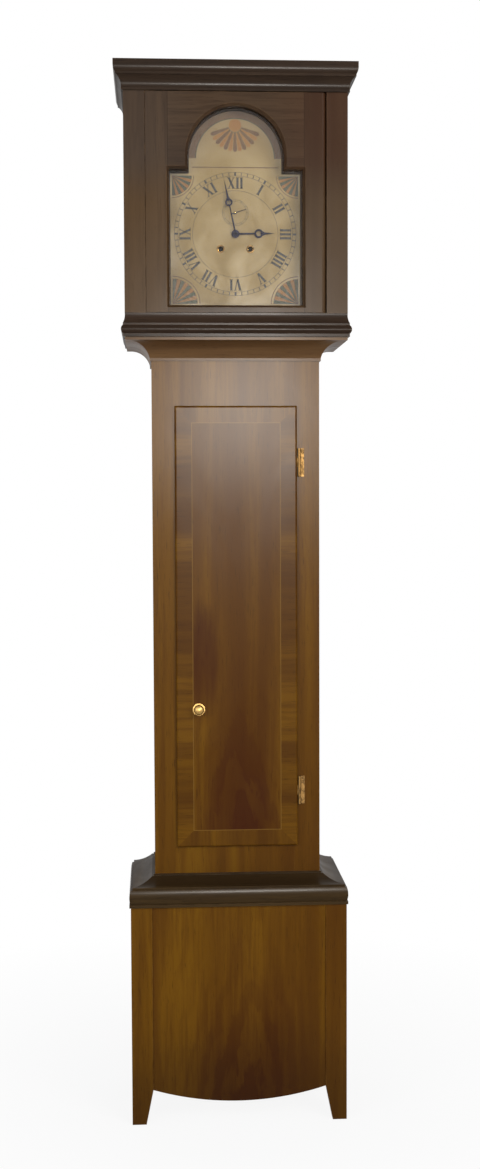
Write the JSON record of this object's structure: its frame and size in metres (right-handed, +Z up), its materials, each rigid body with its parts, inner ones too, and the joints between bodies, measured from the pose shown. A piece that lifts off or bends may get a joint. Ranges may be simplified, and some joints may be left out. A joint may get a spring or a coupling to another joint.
{
  "type": "longcase clock",
  "caption": "Longcase clock with a flat-topped hood, arched dial, tall narrow trunk door, flared waist moulding, footed base, striking movement, pendulum and weights.",
  "frame": {"origin": "on the floor under the middle of the clock's bounding box", "axes": "+X to the viewer's right facing the dial, +Y to the back, +Z up"},
  "size_m": [0.504, 0.27, 2.23],
  "materials": {
    "case_oak": "polished mahogany-coloured wood",
    "door_veneer": "figured veneer, polished",
    "hood_wood": "polished wood, greyed by wax",
    "black_wood": "ebonised moulding",
    "inside_wood": "bare softwood",
    "glass": "clear window glass",
    "painted_dial": "cream paint with plain numbers and corner ornament",
    "brass": "polished brass",
    "steel": "bright steel",
    "blued_steel": "dark blued hands",
    "iron": "blackened iron",
    "gut": "twisted gut line"
  },
  "bodies": {
    "case": {"backboard": "inside_wood", "trunk_sides": "case_oak", "trunk_front_frame": "case_oak", "throat_moulding": "case_oak", "waist_blocks": "inside_wood", "base_front_panel": "case_oak", "base_corner_posts": "case_oak", "base_sides": "case_oak", "base_bottom_board": "inside_wood", "seatboard": "inside_wood", "waist_moulding": "black_wood", "trunk_hinge_plates": "brass", "dial_plate": "painted_dial", "dial_feet": "brass", "movement_front_plate": "brass", "movement_back_plate": "brass", "plate_pillars": "brass", "seatboard_bolts": "steel", "back_cock": "brass", "bell": "brass", "bell_stand": "steel", "going_line": "gut", "strike_line": "gut"},
    "hood": {"hood_cornice": "hood_wood", "hood_top_board": "hood_wood", "hood_sides": "hood_wood", "hood_front_frame": "hood_wood", "hood_mask": "black_wood", "hood_base_rails": "hood_wood"},
    "hood_door": {"hood_door_frame": "hood_wood", "hood_door_glass": "glass", "hood_door_pivots": "steel"},
    "trunk_door": {"trunk_door": "door_veneer", "trunk_door_hinge_leaves": "brass"},
    "door_catch": {"trunk_door_catch": "brass"},
    "centre_arbor": {"centre_wheel": "brass", "cannon_wheel": "brass", "minute_hand": "blued_steel"},
    "hour_work": {"hour_wheel": "brass", "hour_hand": "blued_steel"},
    "minute_work": {"minute_wheel": "brass"},
    "going_great": {"going_great_wheel": "brass"},
    "third_arbor": {"third_wheel": "brass"},
    "escape_arbor": {"escape_wheel": "brass", "seconds_hand": "blued_steel"},
    "pallets": {"pallet_arbor": "steel"},
    "pendulum": {"pendulum_rod": "steel", "pendulum_bob": "brass"},
    "going_winding": {"going_barrel": "brass"},
    "going_weight": {"going_weight": "iron"},
    "strike_winding": {"strike_barrel": "brass"},
    "strike_weight": {"strike_weight": "iron"},
    "gathering_arbor": {"gathering_wheel": "brass"},
    "pin_arbor": {"pin_wheel": "brass"},
    "strike_great": {"strike_great_wheel": "brass"},
    "warning_arbor": {"warning_wheel": "brass"},
    "fly_arbor": {"strike_fly": "brass"},
    "hammer": {"bell_hammer": "steel"}
  },
  "joints": [
    {"name": "hood_slide", "type": "slide", "parent": "case", "child": "hood", "axis": [0, -1, 0], "range_m": [0, 0.255]},
    {"name": "hood_door_hinge", "type": "hinge", "parent": "hood", "child": "hood_door", "pos_m": [0.1782, -0.106, 1.946], "axis": [0, 0, 1], "range_deg": [0, 90]},
    {"name": "trunk_door_hinge", "type": "hinge", "parent": "case", "child": "trunk_door", "pos_m": [0.1344, -0.0647, 1.059], "axis": [0, 0, 1], "range_deg": [0, 120]},
    {"name": "door_catch_turn", "type": "hinge", "parent": "trunk_door", "child": "door_catch", "pos_m": [-0.082, -0.067, 0.885], "axis": [0, -1, 0], "range_deg": [0, 90]},
    {"name": "minute_train", "type": "hinge", "parent": "case", "child": "centre_arbor", "pos_m": [0, -0.0045, 1.888], "axis": [0, 1, 0], "continuous": true},
    {"name": "hour_train", "type": "hinge", "parent": "case", "child": "hour_work", "pos_m": [0, -0.05, 1.888], "axis": [0, 1, 0], "continuous": true},
    {"name": "minute_wheel_turn", "type": "hinge", "parent": "case", "child": "minute_work", "pos_m": [-0.0312, -0.045, 1.888], "axis": [0, 1, 0], "continuous": true},
    {"name": "going_great_turn", "type": "hinge", "parent": "case", "child": "going_great", "pos_m": [0.031, 0.015, 1.857], "axis": [0, 1, 0], "continuous": true},
    {"name": "third_turn", "type": "hinge", "parent": "case", "child": "third_arbor", "pos_m": [0.00899, -0.0045, 1.91186], "axis": [0, 1, 0], "continuous": true},
    {"name": "escape_turn", "type": "hinge", "parent": "case", "child": "escape_arbor", "pos_m": [0, -0.0045, 1.932], "axis": [0, 1, 0], "continuous": true},
    {"name": "pendulum_swing", "type": "hinge", "parent": "case", "child": "pendulum", "pos_m": [0, 0.049, 1.956], "axis": [0, 1, 0], "range_deg": [-3, 3]},
    {"name": "pallet_rock", "type": "hinge", "parent": "case", "child": "pallets", "pos_m": [0, -0.0045, 1.956], "axis": [0, 1, 0], "range_deg": [-3.1, 3.1]},
    {"name": "going_weight_fall", "type": "slide", "parent": "case", "child": "going_weight", "axis": [0, 0, 1], "range_m": [-0.85, 0.28], "deforming": ["going_line"]},
    {"name": "strike_weight_fall", "type": "slide", "parent": "case", "child": "strike_weight", "axis": [0, 0, 1], "range_m": [-0.85, 0.28], "deforming": ["strike_line"]},
    {"name": "going_barrel_wind", "type": "hinge", "parent": "case", "child": "going_winding", "pos_m": [0.031, -0.006, 1.857], "axis": [0, 1, 0], "range_deg": [-4320, 1440]},
    {"name": "strike_barrel_wind", "type": "hinge", "parent": "case", "child": "strike_winding", "pos_m": [-0.031, -0.006, 1.857], "axis": [0, 1, 0], "range_deg": [-4320, 1440]},
    {"name": "strike_train", "type": "hinge", "parent": "case", "child": "gathering_arbor", "pos_m": [-0.02396, -0.0045, 1.9191], "axis": [0, 1, 0], "continuous": true},
    {"name": "pin_wheel_turn", "type": "hinge", "parent": "case", "child": "pin_arbor", "pos_m": [-0.03787, -0.0045, 1.89596], "axis": [0, 1, 0], "continuous": true},
    {"name": "strike_great_turn", "type": "hinge", "parent": "case", "child": "strike_great", "pos_m": [-0.031, -0.032, 1.857], "axis": [0, 1, 0], "continuous": true},
    {"name": "warning_turn", "type": "hinge", "parent": "case", "child": "warning_arbor", "pos_m": [-0.03692, -0.0045, 1.93694], "axis": [0, 1, 0], "continuous": true},
    {"name": "fly_turn", "type": "hinge", "parent": "case", "child": "fly_arbor", "pos_m": [-0.02444, -0.0045, 1.949], "axis": [0, 1, 0], "continuous": true},
    {"name": "hammer_lift", "type": "hinge", "parent": "case", "child": "hammer", "pos_m": [-0.05, -0.0045, 1.954], "axis": [0, -1, 0], "range_deg": [0, 8], "stiffness_Nm_per_rad": 0.05}
  ],
  "couplings": [
    {"joint": "hour_train", "follows": "minute_train", "ratio": 0.083333},
    {"joint": "minute_wheel_turn", "follows": "minute_train", "ratio": -1},
    {"joint": "going_great_turn", "follows": "minute_train", "ratio": -0.083333},
    {"joint": "third_turn", "follows": "minute_train", "ratio": -7.5},
    {"joint": "escape_turn", "follows": "minute_train", "ratio": 60},
    {"joint": "pallet_rock", "follows": "pendulum_swing", "ratio": 1},
    {"joint": "going_barrel_wind", "follows": "going_weight_fall", "rad_per_m": 88.496},
    {"joint": "strike_barrel_wind", "follows": "strike_weight_fall", "rad_per_m": 88.496},
    {"joint": "pin_wheel_turn", "follows": "strike_train", "ratio": -0.125},
    {"joint": "strike_great_turn", "follows": "strike_train", "ratio": 0.011905},
    {"joint": "warning_turn", "follows": "strike_train", "ratio": -8},
    {"joint": "fly_turn", "follows": "strike_train", "ratio": 56}
  ]
}
